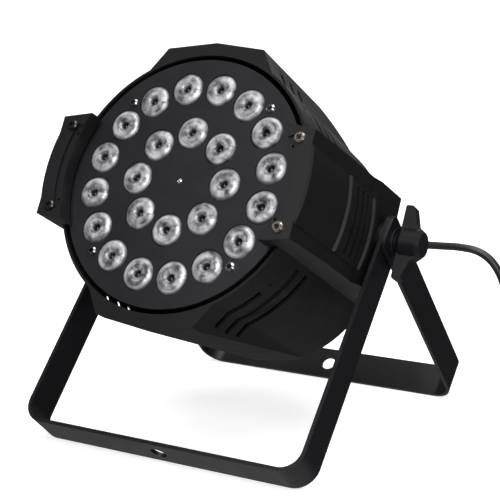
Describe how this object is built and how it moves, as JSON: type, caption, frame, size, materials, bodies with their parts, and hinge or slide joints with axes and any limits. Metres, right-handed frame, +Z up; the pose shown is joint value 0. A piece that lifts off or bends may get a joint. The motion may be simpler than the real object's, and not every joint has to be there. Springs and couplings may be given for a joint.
{
  "type": "stage par light",
  "caption": "Round stage par light with a ring-patterned lens plate, ribbed side covers, rear control panel, mains lead and a folding double floor bracket.",
  "frame": {"origin": "on the floor, at the bottom centre of the lamp and its open bracket, the mains lead left out", "axes": "+Z up, -Y towards the side the lenses face, +X to the lamp's left-hand side as seen from behind, along the tilt axis"},
  "size_m": [0.467, 0.3107, 0.31],
  "materials": {
    "bracket_paint": "satin black powder coat",
    "casing_paint": "fine matte black texture coat on cast aluminium",
    "cover_paint": "matte black texture coat",
    "plate_paint": "smooth matte dark grey",
    "panel_paint": "matte black",
    "friction_fibre": "dark fibre",
    "brass_screw": "plated",
    "chrome_screw": "bright",
    "black_steel": "black oxide",
    "bare_steel": "zinc plated",
    "black_anodise": "black anodised extrusion",
    "lens_optic": "polished acrylic collimator with a silvered look",
    "holder_plastic": "moulded",
    "led_phosphor": "silicone dome",
    "dark_board": "black solder mask",
    "green_board": "solder mask",
    "fan_plastic": "moulded",
    "guard_wire": "black coated wire",
    "display_acrylic": "dark tinted window",
    "key_plastic": "moulded",
    "connector_metal": "black plated die casting",
    "latch_metal": "plated",
    "gland_plastic": "nylon",
    "boot_rubber": "soft",
    "knob_plastic": "moulded",
    "cord_rubber": "matte rubber sheath",
    "tie_fabric": "hook-and-loop strap",
    "plug_plastic": "moulded, with plated blades"
  },
  "bodies": {
    "front_bracket": {"front_bracket": "bracket_paint", "bracket_discs": "friction_fibre"},
    "rear_bracket": {"rear_bracket": "bracket_paint"},
    "fan": {"fan_rotor": "fan_plastic"},
    "left_knob": {"left_knob": "knob_plastic", "left_clamp_bolt": "black_steel"},
    "right_knob": {"right_knob": "knob_plastic", "right_clamp_bolt": "black_steel"},
    "menu_key_1": {"button_1": "key_plastic"},
    "menu_key_2": {"button_2": "key_plastic"},
    "menu_key_3": {"button_3": "key_plastic"},
    "menu_key_4": {"button_4": "key_plastic"},
    "dmx_latch": {"dmx_latch": "latch_metal"},
    "fuse_cap": {"fuse_cap": "holder_plastic"},
    "head": {"pivot_discs": "friction_fibre", "upper_casing": "casing_paint", "lower_casing": "casing_paint", "left_cover": "cover_paint", "right_cover": "cover_paint", "cover_screws": "brass_screw", "front_plate": "plate_paint", "plate_screws": "chrome_screw", "plate_posts": "bare_steel", "outer_lenses": "lens_optic", "inner_lenses": "lens_optic", "lens_holders": "holder_plastic", "leds": "led_phosphor", "led_board": "dark_board", "heat_sink": "black_anodise", "chassis_plate": "black_steel", "fan_frame": "fan_plastic", "power_supply": "bare_steel", "driver_board": "green_board", "control_board": "green_board", "display_module": "holder_plastic", "rear_panel": "panel_paint", "rear_screws": "chrome_screw", "fan_guard": "guard_wire", "display_window": "display_acrylic", "dmx_in": "connector_metal", "dmx_out": "connector_metal", "fuse_holder": "holder_plastic", "safety_lug": "bare_steel", "cord_gland": "gland_plastic", "strain_relief": "boot_rubber", "pivot_bushes": "bare_steel", "power_cord": "cord_rubber", "cord_coil": "cord_rubber", "cord_tail": "cord_rubber", "cord_tie": "tie_fabric", "power_plug": "plug_plastic"}
  },
  "joints": [
    {"name": "rear_bracket_fold", "type": "hinge", "parent": "front_bracket", "child": "rear_bracket", "pos_m": [0, 0.00161, 0.15987], "axis": [1, 0, 0], "range_deg": [-88, 25]},
    {"name": "head_tilt", "type": "hinge", "parent": "front_bracket", "child": "head", "pos_m": [0, 0.00161, 0.15987], "axis": [1, 0, 0], "range_deg": [-25, 55]},
    {"name": "right_knob_turn", "type": "hinge", "parent": "head", "child": "right_knob", "pos_m": [0.14, 0.00161, 0.15987], "axis": [1, 0, 0], "range_deg": [0, 360]},
    {"name": "left_knob_turn", "type": "hinge", "parent": "head", "child": "left_knob", "pos_m": [-0.14, 0.00161, 0.15987], "axis": [-1, 0, 0], "range_deg": [0, 360]},
    {"name": "fan_spin", "type": "hinge", "parent": "head", "child": "fan", "pos_m": [0, -0.03953, 0.17704], "axis": [0, 0.8846, -0.4664], "continuous": true},
    {"name": "dmx_latch_press", "type": "slide", "parent": "head", "child": "dmx_latch", "axis": [0, 0.4664, 0.8846], "range_m": [0, 0.0008], "stiffness_N_per_m": 600},
    {"name": "fuse_cap_turn", "type": "hinge", "parent": "head", "child": "fuse_cap", "pos_m": [0.024, 0.04366, 0.07666], "axis": [0, 0.8846, -0.4664], "range_deg": [0, 90]},
    {"name": "menu_key_1_press", "type": "slide", "parent": "head", "child": "menu_key_1", "axis": [0, -0.8846, 0.4664], "range_m": [0, 0.0008], "stiffness_N_per_m": 500},
    {"name": "menu_key_2_press", "type": "slide", "parent": "head", "child": "menu_key_2", "axis": [0, -0.8846, 0.4664], "range_m": [0, 0.0008], "stiffness_N_per_m": 500},
    {"name": "menu_key_3_press", "type": "slide", "parent": "head", "child": "menu_key_3", "axis": [0, -0.8846, 0.4664], "range_m": [0, 0.0008], "stiffness_N_per_m": 500},
    {"name": "menu_key_4_press", "type": "slide", "parent": "head", "child": "menu_key_4", "axis": [0, -0.8846, 0.4664], "range_m": [0, 0.0008], "stiffness_N_per_m": 500}
  ]
}
